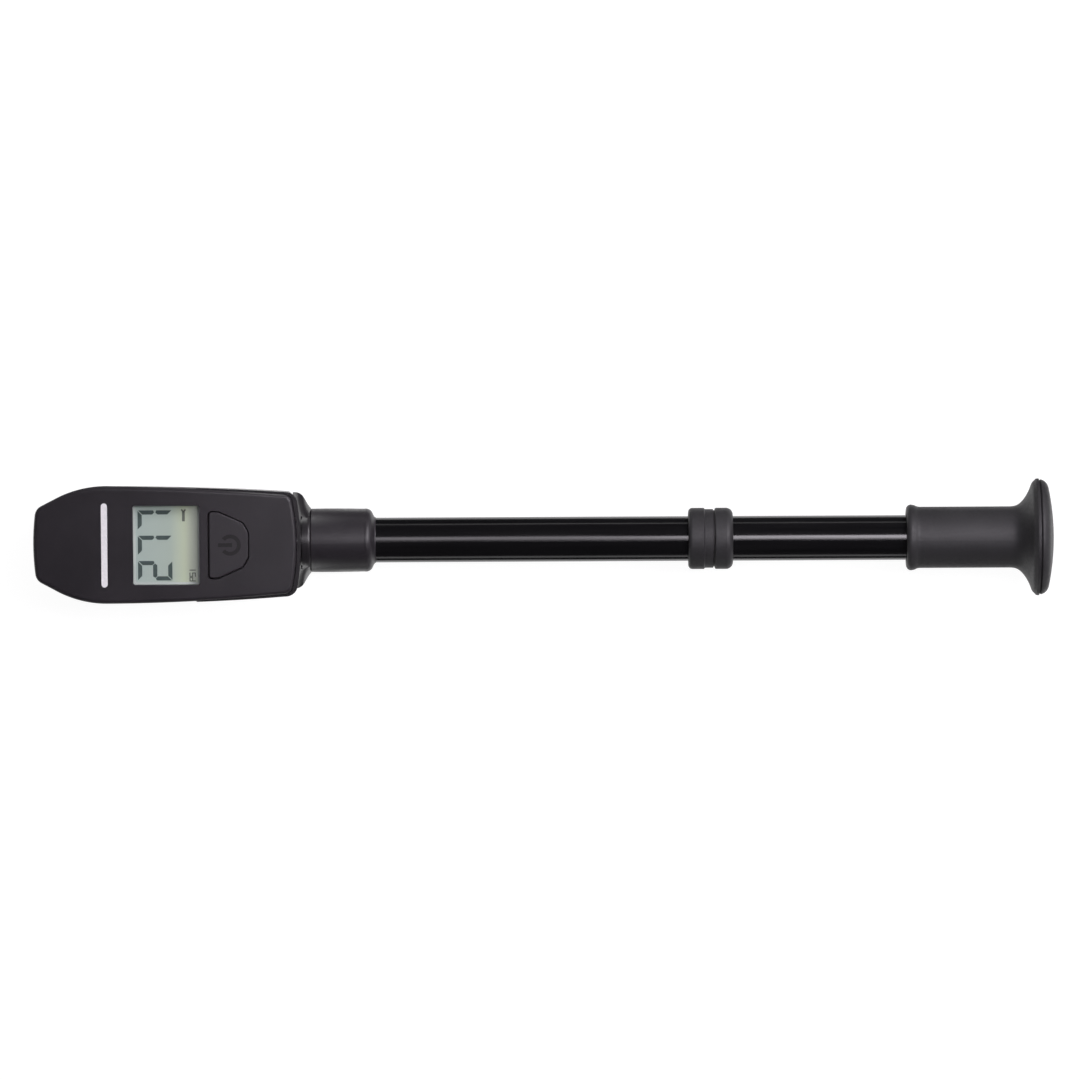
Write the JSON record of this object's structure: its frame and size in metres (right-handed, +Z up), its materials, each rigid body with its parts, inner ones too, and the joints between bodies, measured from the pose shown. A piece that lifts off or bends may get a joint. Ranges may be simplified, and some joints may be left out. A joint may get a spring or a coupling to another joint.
{
  "type": "shock suspension pump",
  "caption": "Slim high-pressure hand pump for air suspension: digital gauge head with power button and bleed valve, straight barrel with hose clip, palm handle on a sliding rod.",
  "frame": {"origin": "middle of the footprint, on the surface that the pump lies on", "axes": "+X along the pump from the gauge head to the handle, +Z up out of the display, +Y across it"},
  "size_m": [0.2875, 0.0332, 0.033],
  "materials": {
    "satin_black_plastic": "satin moulded, fine grain",
    "gloss_black_plastic": "glossy moulded",
    "black_rubber": "matte, fine grain",
    "button_rubber": "matte silicone",
    "black_anodised": "polished, black anodised",
    "clear_window": "clear, hard coated",
    "grey_plastic": "satin light grey",
    "lcd_glass": "reflective display, grey green",
    "board_green": "solder mask",
    "component_black": "moulded packages",
    "spring_steel": "drawn wire",
    "stainless": "brushed",
    "brass": "turned",
    "bare_aluminium": "turned, clear anodised",
    "chromed_rod": "hard chromed and ground",
    "seal_rubber": "nitrile",
    "white_acetal": "turned acetal"
  },
  "bodies": {
    "pump": {"front_cover": "satin_black_plastic", "rear_housing": "gloss_black_plastic", "housing_gasket": "seal_rubber", "housing_screws": "stainless", "display_window": "clear_window", "lcd_frame": "grey_plastic", "lcd_panel": "lcd_glass", "zebra_strips": "grey_plastic", "circuit_board": "board_green", "board_components": "component_black", "button_switch": "component_black", "pressure_sensor": "stainless", "sensor_seal": "seal_rubber", "battery": "stainless", "battery_contacts": "spring_steel", "valve_block": "bare_aluminium", "check_seat": "brass", "bleed_spring": "spring_steel", "hose_port_insert": "brass", "neck_sleeve": "satin_black_plastic", "barrel_tube": "black_anodised", "barrel_seal": "seal_rubber", "hose_clip": "black_rubber", "rod_guide": "white_acetal", "rod_wiper": "seal_rubber"},
    "power_button": {"power_button": "button_rubber"},
    "battery_cap": {"battery_cap": "satin_black_plastic", "battery_cap_seal": "seal_rubber"},
    "bleed_button": {"bleed_button": "brass", "bleed_seal": "seal_rubber"},
    "check_poppet": {"check_poppet": "white_acetal", "check_spring": "spring_steel"},
    "piston": {"piston_seal": "seal_rubber", "piston_guide_ring": "white_acetal"},
    "handle": {"piston_rod": "chromed_rod", "piston_head": "bare_aluminium", "handle_core": "satin_black_plastic", "handle_grip": "black_rubber", "handle_bumper": "seal_rubber", "handle_screw": "stainless", "palm_cap": "black_rubber"}
  },
  "joints": [
    {"name": "pump_stroke", "type": "slide", "parent": "pump", "child": "piston", "axis": [1, 0, 0], "range_m": [0, 0.145]},
    {"name": "handle_spin", "type": "hinge", "parent": "piston", "child": "handle", "pos_m": [0.1222, 0, 0.0165], "axis": [1, 0, 0], "continuous": true},
    {"name": "power_button_press", "type": "slide", "parent": "pump", "child": "power_button", "axis": [0, 0, -1], "range_m": [0, 0.00055], "stiffness_N_per_m": 3000, "springref_m": -0.0003},
    {"name": "bleed_button_press", "type": "slide", "parent": "pump", "child": "bleed_button", "axis": [0, 0, 1], "range_m": [0, 0.0012], "stiffness_N_per_m": 2000, "springref_m": -0.0005, "deforming": ["bleed_spring"]},
    {"name": "check_valve_lift", "type": "slide", "parent": "pump", "child": "check_poppet", "axis": [-1, 0, 0], "range_m": [0, 0.0009], "stiffness_N_per_m": 200, "springref_m": -0.0005},
    {"name": "battery_cap_turn", "type": "hinge", "parent": "pump", "child": "battery_cap", "pos_m": [-0.1108, 0, 0.006], "axis": [0, 0, 1], "range_deg": [-45, 0]}
  ]
}
